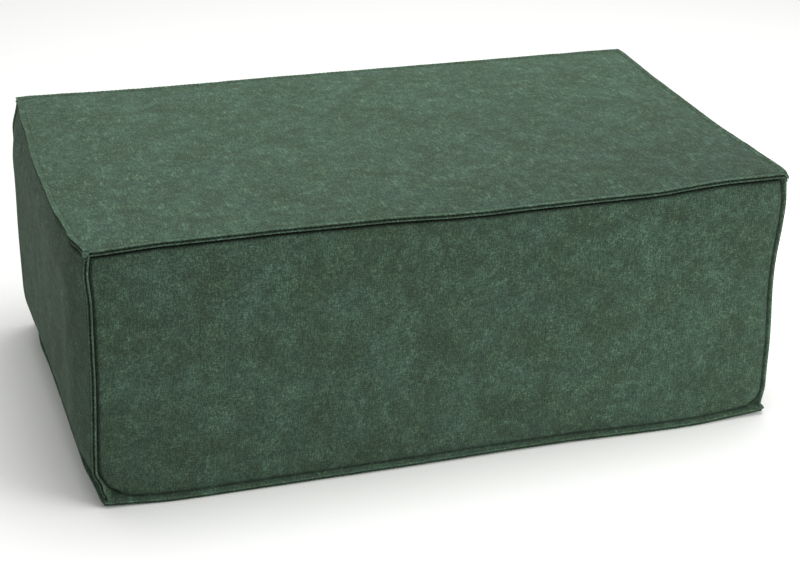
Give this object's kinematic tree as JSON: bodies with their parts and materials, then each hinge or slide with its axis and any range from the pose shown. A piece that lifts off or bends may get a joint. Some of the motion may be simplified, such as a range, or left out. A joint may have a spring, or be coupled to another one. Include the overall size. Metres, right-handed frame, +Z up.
{
  "type": "ottoman footstool",
  "caption": "Low box footstool filled with foam and covered in brushed green cloth, with softly crowned panels and a standing seam along each edge.",
  "frame": {"origin": "on the floor under the middle of the body", "axes": "+X along the long side, -Y towards the long front panel, +Z up"},
  "size_m": [1.1334, 0.6665, 0.4238],
  "materials": {
    "brushed_cloth": "brushed, mottled dark green pile with a soft matt look"
  },
  "bodies": {
    "root": {"filled_body": "brushed_cloth", "top_seam_flange": "brushed_cloth", "base_seam_flange": "brushed_cloth", "corner_flange_front_left": "brushed_cloth", "corner_flange_front_right": "brushed_cloth", "corner_flange_back_left": "brushed_cloth", "corner_flange_back_right": "brushed_cloth"}
  },
  "joints": []
}
